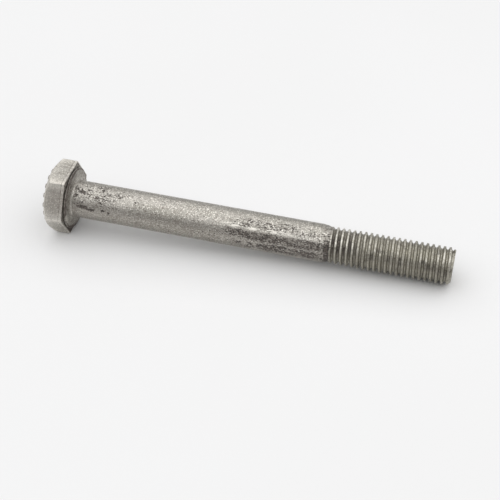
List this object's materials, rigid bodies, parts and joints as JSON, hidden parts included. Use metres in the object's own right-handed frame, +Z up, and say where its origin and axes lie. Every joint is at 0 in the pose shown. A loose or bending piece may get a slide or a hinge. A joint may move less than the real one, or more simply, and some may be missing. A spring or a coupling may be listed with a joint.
{
  "type": "hex cap screw",
  "caption": "Long hexagon-head bolt with a round washer face under the head, a plain full-body shank and a fine right-hand thread at the tip end.",
  "frame": {"origin": "centre of the ring-shaped bearing face under the head, on the bolt's axis", "axes": "+X along the bolt from the head towards the threaded tip; +Z up, square to two opposite flats of the hexagon; +Y through two opposite corners of the hexagon"},
  "size_m": [0.0676, 0.0126, 0.011],
  "materials": {
    "forged_head": "matte grey zinc plating, slightly mottled, with grime in the corners under the head",
    "drawn_shank": "dull grey zinc plating with fine lengthwise grain, small pits and brown-black scuffs",
    "worn_thread": "worn, nicked crests over dark, grimy roots"
  },
  "bodies": {
    "root": {"hex_head": "forged_head", "washer_face": "forged_head", "plain_shank": "drawn_shank", "thread_runout": "worn_thread", "rolled_thread": "worn_thread", "chamfered_point": "worn_thread"}
  },
  "joints": []
}
